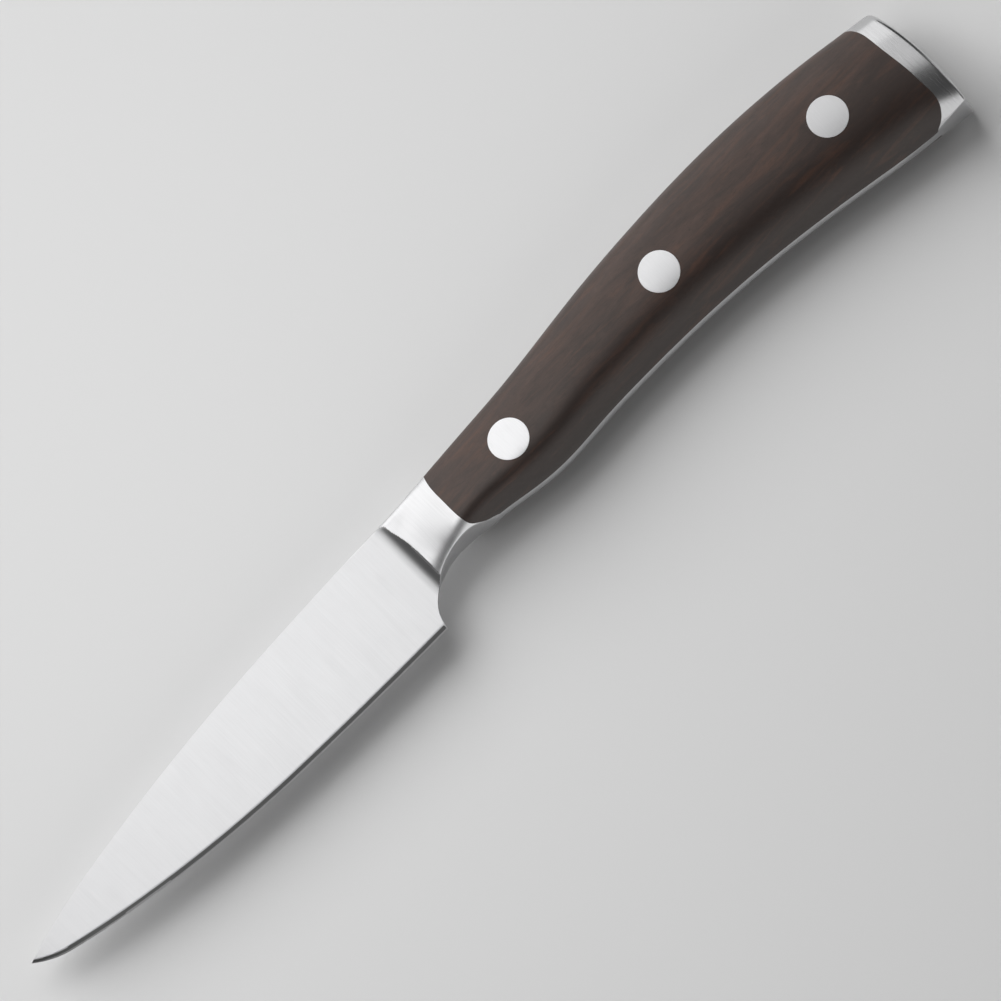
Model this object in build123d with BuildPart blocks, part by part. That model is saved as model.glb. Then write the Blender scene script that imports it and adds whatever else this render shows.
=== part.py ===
from build123d import *
import os
from math import radians, tan

# A forged paring knife that lies on its flank: blade, half bolster, full tang and end cap are one
# piece of steel, with two wooden scales held by three two-piece rivets.
# +X runs from the tip to the butt, +Y from the cutting edge to the spine, +Z out of the left flank.
# The outlines below are drawn from the point where the spine meets the bolster.

# Blade
blade_length = 90.0
blade_height = 20.0
tip_drop = 9.45
heel_lead = 4.2
spine_thickness = 2.0
heel_thickness = 0.4
tip_thinning = 0.36
bevel_angle = 15.0
bevel_reach = 3.0

# Handle
handle_length = 116.1
handle_height = 20.0
handle_thickness = 14.4
tang_thickness = 3.0
butt_rim_radius = 0.6

# Bolster
bolster_length = 10.1
bolster_height = 11.75
bolster_lead = 1.2
bolster_hollow_radius = 2.6
hollow_share = 0.92

# Rivets
rivet_head_diameter = 7.0
rivet_tube_diameter = 5.0
rivet_pin_diameter = 3.2
scale_web = 2.2
pin_tip_gap = 0.4
tube_end_gap = 0.3

# How far a cutting shape runs past what it cuts
overrun = 5.0

# Spine of the blade, from the tip to the bolster: share of the blade length, share of the tip drop
spine_shares = ((1.0, 1.0), (0.92, 0.79), (0.77, 0.528), (0.52, 0.242), (0.27, 0.09), (0.004, 0.005))

# Cutting edge as tangent arcs, from the heel to the tip: share of the blade length, share of the
# blade height
edge_shares = ((0.41, 0.968), (0.84, 0.734), (0.93, 0.638))

# Hollow under the bolster, from the heel to the wood: shares of the bolster length, which starts
# at the blade, and of the bolster height
scoop_shares = (
    (-0.33, 1.465),
    (-0.12, 1.264),
    (0.257, 1.077),
    (0.84, 1.0),
    (1.04, 1.02),
    (1.22, 1.07),
    (1.40, 1.115),
    (1.70, 1.22),
)

# Handle sections, from the blade to past the butt: place along the handle as a share of its
# length, top and belly as shares of its height, thickness as a share of the full thickness, and
# how much of the section is still bolster
station_shares = (
    (-0.04, 0.0, -0.81, 0.33, 1.0),
    (0.010, 0.002, -0.79, 0.385, 1.0),
    (0.045, 0.006, -0.745, 0.56, 0.9),
    (0.085, 0.016, -0.675, 0.735, 0.8),
    (0.125, 0.031, -0.663, 0.80, 0.65),
    (0.187, 0.055, -0.72, 0.86, 0.45),
    (0.243, 0.077, -0.753, 0.88, 0.3),
    (0.327, 0.128, -0.733, 0.90, 0.15),
    (0.42, 0.192, -0.725, 0.91, 0.05),
    (0.54, 0.243, -0.745, 0.93, 0.0),
    (0.689, 0.259, -0.828, 0.955, 0.0),
    (0.827, 0.207, -0.957, 0.99, 0.0),
    (0.90, 0.151, -1.03, 1.0, 0.0),
    (0.935, 0.118, -1.066, 1.0, 0.0),
    (0.962, 0.093, -1.122, 1.0, 0.0),
    (1.04, 0.02, -1.34, 0.99, 0.0),
)

# Half of a handle section from top to belly: depth as a share of the section's height, then its
# half thickness at the bolster and along the grip, as shares of the largest
section_shares = (
    (0.0, 0.0, 0.0),
    (0.003, 0.20, 0.14),
    (0.018, 0.41, 0.34),
    (0.12, 0.57, 0.76),
    (0.34, 0.78, 0.96),
    (0.56, 0.93, 1.0),
    (0.73, 1.0, 0.93),
    (0.87, 0.86, 0.72),
    (0.965, 0.52, 0.41),
    (0.994, 0.20, 0.17),
    (1.0, 0.0, 0.0),
)

# Wood against the bolster, from above the top to below the belly: shares of the bolster length
# and of the bolster height
wood_front_shares = (
    (1.16, 0.25),
    (1.05, 0.0),
    (1.005, -0.17),
    (0.99, -0.5),
    (1.005, -0.88),
    (1.05, -0.985),
    (1.13, -1.03),
    (1.25, -1.073),
    (1.41, -1.103),
    (1.6, -1.15),
    (2.0, -1.32),
)

# Wood against the end cap, from below the belly to above the top: shares of the handle length and
# of the handle height
wood_rear_shares = (
    (0.890, -1.06),
    (0.930, -1.028),
    (0.953, -0.985),
    (0.965, -0.90),
    (0.968, -0.77),
    (0.967, -0.55),
    (0.962, -0.24),
    (0.955, 0.0),
    (0.942, 0.115),
    (0.925, 0.23),
)

# Flat belly of the end cap, from the grip to past the butt
cap_belly_shares = ((0.818, -0.985), (0.87, -1.002), (0.915, -1.031), (0.965, -1.05), (1.08, -1.056))

# End of the butt, from above the top to below the belly
butt_end_shares = ((0.975, 0.18), (0.985, 0.07), (0.993, -0.12), (1.0, -0.65), (0.996, -1.0), (0.985, -1.4))

# Rivet centres: share of the handle length, share of the handle height
rivet_shares = {"front": (0.212, -0.324), "middle": (0.525, -0.254), "rear": (0.843, -0.36)}

# The solids are drawn from the spine's root, and placed so that the finished knife's box stands
# with the middle of its lower face at the origin
highest = max(top_share for _, top_share, *_ in station_shares) * handle_height
lowest = max(-belly_share for _, belly_share in cap_belly_shares) * handle_height
root = Vector(
    (blade_length - handle_length) / 2,
    (max(lowest, blade_height) - highest) / 2,
    handle_thickness / 2,
)
side_plane = Plane(origin=root)
half_tang = tang_thickness / 2
head_seat = half_tang + scale_web
flank_lean = (spine_thickness - heel_thickness) / (2 * blade_height)
flank_taper = tip_thinning / (2 * blade_length)


def place(x, y, z=0.0):
    """A point of the knife, from its place relative to the spine's root."""
    return root + Vector(x, y, z)


def scaled(shares, length, height):
    """Outline points from a table of shares."""
    return [(along * length, up * height) for along, up in shares]


def half_section(station):
    """The left half of one cross section of the handle, on a plane square to its length."""
    along, top_share, belly_share, thickness_share, bolster_share = station
    top = top_share * handle_height
    depth = top - belly_share * handle_height
    half_thickness = thickness_share * handle_thickness / 2
    rim_points = []
    for depth_share, at_bolster, at_grip in section_shares:
        width_share = at_bolster * bolster_share + at_grip * (1 - bolster_share)
        rim_points.append((top - depth_share * depth, width_share * half_thickness))
    across = Plane(origin=place(along * handle_length, 0), x_dir=(0, 1, 0), z_dir=(1, 0, 0))
    with BuildSketch(across) as section:
        with BuildLine():
            rim = Spline(*rim_points)
            Line(rim @ 1, rim @ 0)
        make_face()
    return section.sketch


def region_beside(points, away):
    """The area on one side of a curve, reaching the given step away from its two ends."""
    with BuildSketch(side_plane) as region:
        with BuildLine():
            curve = Spline(*points)
            Polyline(curve @ 1, (curve @ 1) + away, (curve @ 0) + away, curve @ 0)
        make_face()
    return region.sketch


def wood_outline(side):
    """Side view of a handle scale, on the face of the tang that it is riveted to."""
    with BuildSketch(Plane(origin=place(0, 0, side * half_tang))) as outline:
        with BuildLine():
            front = Spline(*scaled(wood_front_shares, bolster_length, bolster_height))
            rear = Spline(*scaled(wood_rear_shares, handle_length, handle_height))
            below = ((front @ 1).X + overrun, (rear @ 0).Y)
            Polyline(front @ 1, below, rear @ 0)
            Line(rear @ 1, front @ 0)
        make_face()
    return outline.sketch


def rivet_disc(position, diameter, height):
    """A circle round a rivet's axis, at a height above the middle of the tang."""
    along, up = position
    centre = place(along * handle_length, up * handle_height, height)
    with BuildSketch(Plane(origin=centre)) as disc:
        Circle(diameter / 2)
    return disc.sketch


def hollow_profile():
    """What the hollow before the bolster takes from the handle's form, square to the blade's flank."""
    flank_height = spine_thickness / 2 + flank_lean * handle_height
    above = Plane(
        origin=place(0, handle_height, flank_height),
        x_dir=(1, 0, 0),
        z_dir=(0, -1, -flank_lean),
    )
    start = bolster_lead - hollow_share * bolster_hollow_radius
    end = start + bolster_hollow_radius
    with BuildSketch(above) as profile:
        with BuildLine():
            hollow = RadiusArc((start, 0), (end, bolster_hollow_radius), -bolster_hollow_radius)
            Polyline(
                hollow @ 1,
                (end, handle_thickness),
                (-handle_length, handle_thickness),
                (-handle_length, -handle_thickness),
                (start, -handle_thickness),
                hollow @ 0,
            )
        make_face()
    return profile.sketch


def describe(piece):
    """Print whether a finished piece is sound, with its volume and size."""
    size = piece.bounding_box().size
    print(piece.label, piece.is_valid, f"{piece.volume:.2f} {size.X:.2f} {size.Y:.2f} {size.Z:.2f}")


os.makedirs("parts", exist_ok=True)

# Hollow from the heel of the blade to the wood, cut from the blade and the bolster alike
heel = (-heel_lead, -blade_height)
scoop_points = [heel] + scaled(scoop_shares, bolster_length, -bolster_height)
scoop_region = region_beside(scoop_points, Vector(0, -blade_height))

# Cutting edge, from the heel to the tip
tip = (-blade_length, -tip_drop)
first_point, *other_points = scaled(edge_shares, -blade_length, -blade_height)
with BuildLine() as cutting_edge:
    last = TangentArc(heel, first_point, tangent=(-1, 0))
    for point in other_points + [tip]:
        last = TangentArc(last @ 1, point, tangent=last % 1)

# Path of the grinding wheel: the cutting edge, run on past the heel and the tip
bevel_start = (overrun, -blade_height)
with BuildLine() as bevel_path:
    Line(bevel_start, heel)
    add(cutting_edge.line)
    Line(tip, last @ 1 + overrun * (last % 1))

# Left half of the handle's full form, before the steel and the wood are divided
with BuildPart() as half_form:
    loft(sections=[half_section(station) for station in station_shares])
    extrude(hollow_profile(), amount=3 * handle_height, mode=Mode.SUBTRACT)

    # Hollow under the bolster, belly of the end cap and end of the butt, all flat across
    cap_points = scaled(cap_belly_shares, handle_length, handle_height)
    butt_points = scaled(butt_end_shares, handle_length, handle_height)
    for region in (
        scoop_region,
        region_beside(cap_points, Vector(0, -handle_height)),
        region_beside(butt_points, Vector(handle_length, 0)),
    ):
        extrude(region, amount=handle_thickness, both=True, mode=Mode.SUBTRACT)

half_forms = {1: half_form.part, -1: mirror(half_form.part, about=side_plane)}

# Steel inside and behind the wood: tang, half bolster and end cap
with BuildPart() as handle_steel:
    add(half_form.part)
    extrude(wood_outline(1), amount=handle_thickness, mode=Mode.SUBTRACT)
    mirror(about=side_plane)
    for position in rivet_shares.values():
        bore = rivet_disc(position, rivet_tube_diameter, -half_tang)
        extrude(bore, amount=tang_thickness, mode=Mode.SUBTRACT)
    butt_face = handle_steel.faces().sort_by(Axis.X)[-1]
    fillet(butt_face.edges(), butt_rim_radius)

with BuildPart() as blade_forging:
    # Blade blank, cut to its wedge section
    with BuildSketch(side_plane):
        with BuildLine():
            spine = Spline(*scaled(spine_shares, -blade_length, -tip_drop))
            add(cutting_edge.line)
            Polyline(spine @ 1, ((spine @ 1).X, -blade_height), heel)
        make_face()
    extrude(amount=spine_thickness, both=True)
    for side in (1, -1):
        flank = Plane(origin=place(0, 0, side * spine_thickness / 2), z_dir=(-flank_taper, -flank_lean, side))
        split(bisect_by=flank, keep=Keep.BOTTOM)
    extrude(scoop_region, amount=spine_thickness, both=True, mode=Mode.SUBTRACT)

    # Ground bevel on both sides of the cutting edge
    bevel_rise = bevel_reach * tan(radians(bevel_angle))
    with BuildSketch(Plane(origin=place(*bevel_start), x_dir=(0, 1, 0), z_dir=(-1, 0, 0))) as notch:
        with BuildLine():
            Polyline(
                (-bevel_reach, bevel_rise),
                (bevel_reach, bevel_rise),
                (0, 0),
                (bevel_reach, -bevel_rise),
                (-bevel_reach, -bevel_rise),
                close=True,
            )
        make_face()
    path = bevel_path.wires()[0].moved(Location(root))
    sweep(sections=notch.sketch, path=path, mode=Mode.SUBTRACT)

    add(handle_steel.part)

blade_forging.part.label = "blade_forging"
export_step(blade_forging.part, "parts/blade_forging.step")
describe(blade_forging.part)

# Two handle scales, each the wood's outline cut to the handle's form on one side of the tang
for side, name in ((1, "left_scale"), (-1, "right_scale")):
    with BuildPart() as scale:
        extrude(wood_outline(side), amount=side * handle_thickness)
        add(half_forms[side], mode=Mode.INTERSECT)
        for position in rivet_shares.values():
            shank_hole = rivet_disc(position, rivet_tube_diameter, side * half_tang)
            extrude(shank_hole, amount=side * scale_web, mode=Mode.SUBTRACT)
            counterbore = rivet_disc(position, rivet_head_diameter, side * head_seat)
            extrude(counterbore, amount=side * handle_thickness, mode=Mode.SUBTRACT)
    scale.part.label = name
    export_step(scale.part, f"parts/{name}.step")
    describe(scale.part)

# Rivets: a head with a solid pin from the left, pressed into a head with a tube from the right
for name, position in rivet_shares.items():
    with BuildPart() as rivet_pin:
        extrude(rivet_disc(position, rivet_head_diameter, head_seat), amount=handle_thickness)
        add(half_forms[1], mode=Mode.INTERSECT)
        pin_length = 2 * head_seat - pin_tip_gap
        extrude(rivet_disc(position, rivet_pin_diameter, head_seat), amount=-pin_length)
    rivet_pin.part.label = f"{name}_rivet_pin"
    export_step(rivet_pin.part, f"parts/{name}_rivet_pin.step")
    describe(rivet_pin.part)

    with BuildPart() as rivet_tube:
        extrude(rivet_disc(position, rivet_head_diameter, -head_seat), amount=-handle_thickness)
        add(half_forms[-1], mode=Mode.INTERSECT)
        tube_length = 2 * head_seat - tube_end_gap
        extrude(rivet_disc(position, rivet_tube_diameter, -head_seat), amount=tube_length)
        bore = rivet_disc(position, rivet_pin_diameter, -head_seat)
        extrude(bore, amount=tube_length, mode=Mode.SUBTRACT)
    rivet_tube.part.label = f"{name}_rivet_tube"
    export_step(rivet_tube.part, f"parts/{name}_rivet_tube.step")
    describe(rivet_tube.part)
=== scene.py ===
# %% [markdown]
# # A forged paring knife
#
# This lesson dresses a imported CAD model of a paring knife. On the real knife, one steel forging
# is the blade, the half bolster, the tang and the end cap, and two wooden scales are riveted to
# the tang. The CAD model holds the sizes and the way the knife comes apart. Here its pieces get
# smooth meshes and real finishes. We start with the frame, whose box everything has to stay in.

import math

import bmesh
import bpy
import numpy as np
from mathutils import Matrix, Vector


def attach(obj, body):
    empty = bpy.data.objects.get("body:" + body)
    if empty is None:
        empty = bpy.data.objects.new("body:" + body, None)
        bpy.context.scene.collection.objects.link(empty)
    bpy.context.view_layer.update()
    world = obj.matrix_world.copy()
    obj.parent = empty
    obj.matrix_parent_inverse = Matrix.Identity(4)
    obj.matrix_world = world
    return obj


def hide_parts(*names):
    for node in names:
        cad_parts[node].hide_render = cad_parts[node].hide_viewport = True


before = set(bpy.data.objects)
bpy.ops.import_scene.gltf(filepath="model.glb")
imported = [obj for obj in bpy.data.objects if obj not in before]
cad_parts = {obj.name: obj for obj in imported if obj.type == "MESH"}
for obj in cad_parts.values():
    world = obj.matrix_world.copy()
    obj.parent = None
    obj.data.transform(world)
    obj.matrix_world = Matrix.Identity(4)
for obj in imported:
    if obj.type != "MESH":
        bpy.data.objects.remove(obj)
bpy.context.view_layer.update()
print("CAD nodes:", ", ".join(sorted(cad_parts)))

# %% [markdown]
# The sizes are those of the CAD model, in metres. Only the bevel is a little slimmer than there.
# All outlines start from the root, the point where the spine meets the bolster. From it, X runs
# to the butt, Y up past the spine, and Z out of the left flank.

# %% Sizes of the knife
mm = 0.001
blade_length = 90.0 * mm
blade_height = 20.0 * mm
tip_drop = 9.45 * mm
heel_lead = 4.2 * mm
spine_thickness = 2.0 * mm
heel_thickness = 0.4 * mm
bevel_degrees = 12.9
handle_length = 116.1 * mm
handle_height = 20.0 * mm
handle_thickness = 14.4 * mm
tang_thickness = 3.0 * mm
bolster_length = 10.1 * mm
bolster_height = 11.75 * mm
hollow_start = -1.19 * mm
hollow_radius = 2.6 * mm
butt_rim_radius = 0.6 * mm
spine_top_share, cap_low_share = 0.259, 1.056

root = Vector((
    (blade_length - handle_length) / 2,
    (cap_low_share - spine_top_share) * handle_height / 2,
    handle_thickness / 2,
))
print("spine's root at", [round(c / mm, 2) for c in root], "mm")

# %% [markdown]
# An outline could be drawn with hundreds of points, but a curve through a few is smoother and
# easier to correct. So each line below is a short list, with only the points that the shape needs.
# They are shares of the length and height that the line follows, and grow with the knife.

# %% Outlines, as shares of the sizes that they follow
spine_shares = ((1.0, 1.0), (0.92, 0.79), (0.77, 0.528), (0.52, 0.242), (0.27, 0.09), (0.0, 0.0))
edge_shares = ((0.41, 0.968), (0.84, 0.734), (0.93, 0.638))
scoop_shares = (
    (-0.33, 1.465),
    (-0.12, 1.264),
    (0.257, 1.077),
    (0.84, 1.0),
    (1.04, 1.02),
    (1.22, 1.07),
    (1.40, 1.115),
    (1.70, 1.22),
)
cap_belly_shares = ((0.818, -0.985), (0.87, -1.002), (0.915, -1.031), (0.965, -1.05), (1.08, -1.056))
butt_end_shares = ((0.975, 0.18), (0.985, 0.07), (0.993, -0.12), (1.0, -0.65), (0.996, -1.0), (0.985, -1.4))
wood_front_shares = (
    (1.16, 0.25),
    (1.05, 0.0),
    (1.005, -0.17),
    (0.99, -0.5),
    (1.005, -0.88),
    (1.05, -0.985),
    (1.13, -1.03),
    (1.25, -1.073),
    (1.41, -1.103),
    (1.6, -1.15),
    (2.0, -1.32),
)
wood_rear_shares = (
    (0.905, -1.068),
    (0.920, -1.056),
    (0.930, -1.047),
    (0.940, -1.037),
    (0.949, -1.021),
    (0.957, -0.988),
    (0.965, -0.925),
    (0.968, -0.77),
    (0.967, -0.55),
    (0.962, -0.24),
    (0.955, 0.0),
    (0.942, 0.115),
    (0.925, 0.23),
)
rivet_shares = {"front": (0.212, -0.324), "middle": (0.525, -0.254), "rear": (0.843, -0.36)}
print(len(rivet_shares), "rivets")

# %% [markdown]
# The handle is drawn as a loft. Each row of the first table is one cross section: its place along
# the handle, its top and belly, its thickness, and how much of it is still bolster. The second
# table says how wide a section is on its way down, on the bolster and on the grip. The bolster is
# fullest low down and the grip in the middle, and every section is a mix of the two.

# %% Sections of the handle
station_shares = (
    (-0.04, 0.0, -0.81, 0.33, 1.0),
    (0.010, 0.002, -0.79, 0.385, 1.0),
    (0.045, 0.006, -0.745, 0.56, 0.9),
    (0.085, 0.016, -0.675, 0.735, 0.8),
    (0.125, 0.031, -0.663, 0.80, 0.65),
    (0.187, 0.055, -0.72, 0.86, 0.45),
    (0.243, 0.077, -0.753, 0.88, 0.3),
    (0.327, 0.128, -0.733, 0.90, 0.15),
    (0.42, 0.192, -0.725, 0.91, 0.05),
    (0.54, 0.243, -0.745, 0.93, 0.0),
    (0.689, 0.259, -0.828, 0.955, 0.0),
    (0.827, 0.207, -0.957, 0.99, 0.0),
    (0.90, 0.151, -1.03, 1.0, 0.0),
    (0.935, 0.118, -1.066, 1.0, 0.0),
    (0.962, 0.093, -1.122, 1.0, 0.0),
    (1.04, 0.02, -1.34, 0.99, 0.0),
)
section_shares = (
    (0.0, 0.0, 0.0),
    (0.003, 0.20, 0.14),
    (0.018, 0.41, 0.34),
    (0.12, 0.57, 0.76),
    (0.34, 0.78, 0.96),
    (0.56, 0.93, 1.0),
    (0.73, 1.0, 0.93),
    (0.87, 0.86, 0.72),
    (0.965, 0.52, 0.41),
    (0.994, 0.20, 0.17),
    (1.0, 0.0, 0.0),
)
print(len(station_shares), "sections of", len(section_shares), "points")

# %% [markdown]
# A curve through a few points is smooth when its bending changes without a jump. That is what a
# natural cubic spline does, and it takes one small system of equations. Written for many curves
# at once, it also draws all cross sections of the handle in one call. The cutting edge is drawn
# with arcs instead, because it is straight at the heel and bends more and more towards the tip.


# %% Smooth curves through points
def spline(knots, values, at):
    """Natural cubic splines, one for each row of knots and values, read at one place each."""
    gaps = np.diff(knots, axis=1)
    count = knots.shape[1]
    system = np.zeros((len(knots), count, count))
    system[:, 0, 0] = system[:, -1, -1] = 1
    right = np.zeros(values.shape)
    steps = np.diff(values, axis=1) / gaps[..., None]
    for i in range(1, count - 1):
        system[:, i, i - 1] = gaps[:, i - 1]
        system[:, i, i] = 2 * (gaps[:, i - 1] + gaps[:, i])
        system[:, i, i + 1] = gaps[:, i]
        right[:, i] = 6 * (steps[:, i] - steps[:, i - 1])
    bends = np.linalg.solve(system, right)
    i = np.clip((at[:, None] >= knots).sum(axis=1) - 1, 0, count - 2)
    row = np.arange(len(knots))
    gap = gaps[row, i]
    a = ((knots[row, i + 1] - at) / gap)[:, None]
    b = 1 - a
    bent = (a**3 - a) * bends[row, i] + (b**3 - b) * bends[row, i + 1]
    return a * values[row, i] + b * values[row, i + 1] + bent * gap[:, None] ** 2 / 6


def chord_knots(points):
    """Where each point lies along the line through them all, from 0 to 1."""
    lengths = np.linalg.norm(np.diff(points, axis=-2), axis=-1)
    knots = np.concatenate([np.zeros(lengths.shape[:-1] + (1,)), np.cumsum(lengths, axis=-1)], axis=-1)
    return knots / knots[..., -1:]


def outline(shares, length, height, samples=1500, first=()):
    """Points of the smooth curve through a list of shares."""
    points = np.array(list(first) + [(along * length, up * height) for along, up in shares])
    knots = np.repeat(chord_knots(points)[None], samples, axis=0)
    return spline(knots, np.repeat(points[None], samples, axis=0), np.linspace(0, 1, samples))


def edge_outline(samples=400):
    """Points of the cutting edge: arcs that each start the way the last one ends."""
    start = np.array(heel)
    way = np.array((-1.0, 0.0))
    stops = [(-along * blade_length, -up * blade_height) for along, up in edge_shares]
    arcs = [start[None]]
    for stop in np.array(stops + [(-blade_length, -tip_drop)]):
        chord = stop - start
        side = np.array((way[1], -way[0]))
        radius = chord @ chord / (2 * chord @ side)
        turn = 2 * math.atan2(chord @ side, chord @ way)
        angles = np.linspace(0, turn, samples)[1:, None]
        arcs.append(start + radius * (way * np.sin(angles) + side * (1 - np.cos(angles))))
        way = way * math.cos(turn) + side * math.sin(turn)
        start = stop
    return np.concatenate(arcs)


# %% Draw the outlines
heel = (-heel_lead, -blade_height)
spine_line = outline(spine_shares, -blade_length, -tip_drop)
edge_line = edge_outline()[::-1]
scoop_line = outline(scoop_shares, bolster_length, -bolster_height, first=[heel])
cap_belly_line = outline(cap_belly_shares, handle_length, handle_height)
butt_line = outline(butt_end_shares, handle_length, handle_height)[::-1]
print("edge from", edge_line[0] / mm, "to", edge_line[-1] / mm, "mm")

# %% [markdown]
# The whole knife is first drawn as one unground blank: a tube of cross sections from the tip to
# the butt, wide enough to hold the finished form. Blade and handle could also be two meshes that
# are joined, but on one tube the light runs over the bolster without a seam. We need to know the
# knife's section at any place along it.

# %% Outline of the knife at any place along it
bottom_line = np.concatenate([edge_line, scoop_line])
scoop_end = scoop_line[-1, 0]
cap_start = cap_belly_line[0, 0]
# The blade's spine passes into the handle's top over a short run, and the blank reaches below the
# edge and widens towards the tip, so that grinding alone decides the blade's form.
blade_top_end, blade_top_blend = 0.6 * mm, 1.8 * mm
belly_overlap = 1.0 * mm
blade_widening = 1.5
open_space = 1.0


def read(line, x):
    """Height of a line at each place along the knife."""
    return np.interp(x, line[:, 0], line[:, 1])


def floor_at(x):
    """Height below which the knife has no steel: edge, scoop or flat belly of the cap."""
    under_grip = np.full(len(x), -open_space)
    behind = np.where(x > cap_start, read(cap_belly_line, x), under_grip)
    return np.where(x < scoop_end, read(bottom_line, x), behind)


def station_at(x):
    """Top, belly, half thickness and share of bolster of the section at each place."""
    table = np.array(station_shares)
    knots = table[:, 0] * handle_length
    values = table[:, 1:] * (handle_height, handle_height, handle_thickness / 2, 1)
    inside = np.clip(x, knots[0], knots[-1])
    repeated = [np.repeat(a[None], len(x), axis=0) for a in (knots, values)]
    top, belly, half, bolster = spline(*repeated, inside).T
    on_blade = np.clip((blade_top_end - x) / blade_top_blend, 0, 1)
    top = on_blade * read(spine_line, x) + (1 - on_blade) * top
    belly = np.minimum(belly, np.where(x < scoop_end / 2, floor_at(x) - belly_overlap, belly))
    half = half * (1 + blade_widening * np.clip(-x / bolster_length, 0, 1))
    return top, belly, half, bolster


def section_points(x, s):
    """Height and half width of the blank, at a place along it and a share of the way round."""
    top, belly, half, bolster = station_at(x)
    depth_share, at_bolster, at_grip = np.array(section_shares).T
    width = bolster[:, None] * at_bolster + (1 - bolster[:, None]) * at_grip
    heights = top[:, None] - depth_share * (top - belly)[:, None]
    points = np.stack([heights, width * half[:, None]], axis=-1)
    return spline(chord_knots(points), points, s)


print("scoop ends and cap's belly starts at", round(scoop_end / mm, 1), round(cap_start / mm, 1), "mm")

# %% [markdown]
# The blank's rows run along the knife. One row follows the lower crest, where the flank turns to
# the belly, and one follows the shoulder of the cutting edge, so that both lines come out crisp
# without a cut. Its columns stand closest where the form changes most: at the tip and the bolster.

# %% Columns of the blank, in mm, as start, end and number
tip_columns, tip_gap, tip_run, tip_crowding = 24, 0.05, 5.95, 1.5
column_stretches = ((-84, -8, 94), (-8, -4.3, 13), (-4.3, 4, 89), (4, 21, 45), (21, 92, 79), (92, 106, 33))
cap_column, past_butt, cap_samples = 106, 119, 39
tip_steps = np.linspace(0, 1, tip_columns + 1)[:-1] ** tip_crowding
columns = [-blade_length + (tip_gap + tip_steps * tip_run) * mm]
columns += [np.linspace(start, end, count + 1)[:-1] * mm for start, end, count in column_stretches]
columns = np.concatenate([*columns, [cap_column * mm]])
print(len(columns), "columns from", columns[0] / mm, "to", columns[-1] / mm, "mm")

# %% Rows of the blank
flank_rows, shoulder_rows, floor_rows = 44, 6, 8
shoulder_reach, shoulder_share = 0.877 * mm, 0.4
grip_crest_share = 0.985
row_tries = 161
# The flank's rows crowd at the spine and the shoulder: so much by a cosine, so much evenly.
at_ends, evenly = 0.4, 0.2
flank_part, shoulder_part, floor_part = 0, 1, 2


def lower_rows(x):
    """Share of the way round at which the shoulder row and the crest row lie."""
    top, belly = station_at(x)[:2]
    crest = np.maximum(floor_at(x), top - grip_crest_share * (top - belly))
    shoulder = crest + np.minimum(shoulder_reach, shoulder_share * (top - crest))
    tries = np.linspace(0, 1, row_tries)
    heights = section_points(np.repeat(x, row_tries), np.tile(tries, len(x)))[:, 0].reshape(len(x), -1)
    pairs = zip(heights, shoulder, crest)
    return np.array([[np.interp(-h, -row, tries) for h in (a, b)] for row, a, b in pairs])


row_part = np.repeat((flank_part, shoulder_part, floor_part), (flank_rows, shoulder_rows, floor_rows + 1))
flank_turn = np.linspace(0, np.pi, flank_rows + 1)[:-1]
row_step = np.concatenate([
    at_ends * (1 - np.cos(flank_turn)) + evenly * np.linspace(0, 1, flank_rows + 1)[:-1],
    np.linspace(0, 1, shoulder_rows + 1)[:-1],
    1 - np.cos(np.linspace(0, np.pi / 2, floor_rows + 1)),
])
rows = np.arange(len(row_part))
table_x = np.concatenate([columns, np.linspace(cap_column, past_butt, cap_samples + 1)[1:] * mm])
shoulder_table, crest_table = lower_rows(table_x).T
print(len(rows), "rows on each side")

# %% Points of the blank, softer at the crest and rounded low on the bolster
crest_softness, crest_softening = 0.12 * mm, 2 * mm
round_reach, round_depth = 5.2 * mm, 0.6 * mm
round_fade_in, round_fade_out = 1 * mm, 0.5 * bolster_length


def blank_points(x, row):
    """Height and half width of the blank at a place along it, on one of its rows."""
    shoulder, crest = np.interp(x, table_x, shoulder_table), np.interp(x, table_x, crest_table)
    part, step = row_part[row], row_step[row]
    on_flank, on_shoulder = step * shoulder, shoulder + step * (crest - shoulder)
    s = np.where(part == shoulder_part, on_shoulder, crest + step * (1 - crest))
    s = np.where(part == flank_part, on_flank, s)
    y, z = section_points(x, s).T
    floor = floor_at(x)
    near_crest = np.clip(1 - (y - floor) / round_reach, 0, 1)
    on_bolster = np.clip((bolster_length - x) / round_fade_out, 0, 1) * np.clip(x / round_fade_in, 0, 1)
    z = z - round_depth * on_bolster * near_crest**2
    soft = crest_softness * np.clip((x + heel_lead) / crest_softening, 0, 1)
    y = (y + floor + np.sqrt((y - floor) ** 2 + soft**2)) / 2
    return np.where((part == floor_part) & (x < -heel_lead), floor, y), z


def butt_at(y):
    """Place of the butt's face along the knife, at each height."""
    return np.interp(y, butt_line[:, 1], butt_line[:, 0])


loops = [np.repeat([(-blade_length, -tip_drop, 0.0)], len(rows), axis=0)]
for x in columns:
    y, z = blank_points(np.full(len(rows), x), rows)
    loops.append(np.stack([np.full(len(rows), x), np.minimum.accumulate(y), z], axis=-1))
print(len(loops), "loops from the tip to the cap")

# %% [markdown]
# The butt's face is curved, so the last loops can't be flat. Each is stretched towards it, and its
# place and height are settled in a few passes. A quarter circle then rounds the rim, and rings
# that shrink to a point close the face. The other flank is a mirror image.

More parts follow.
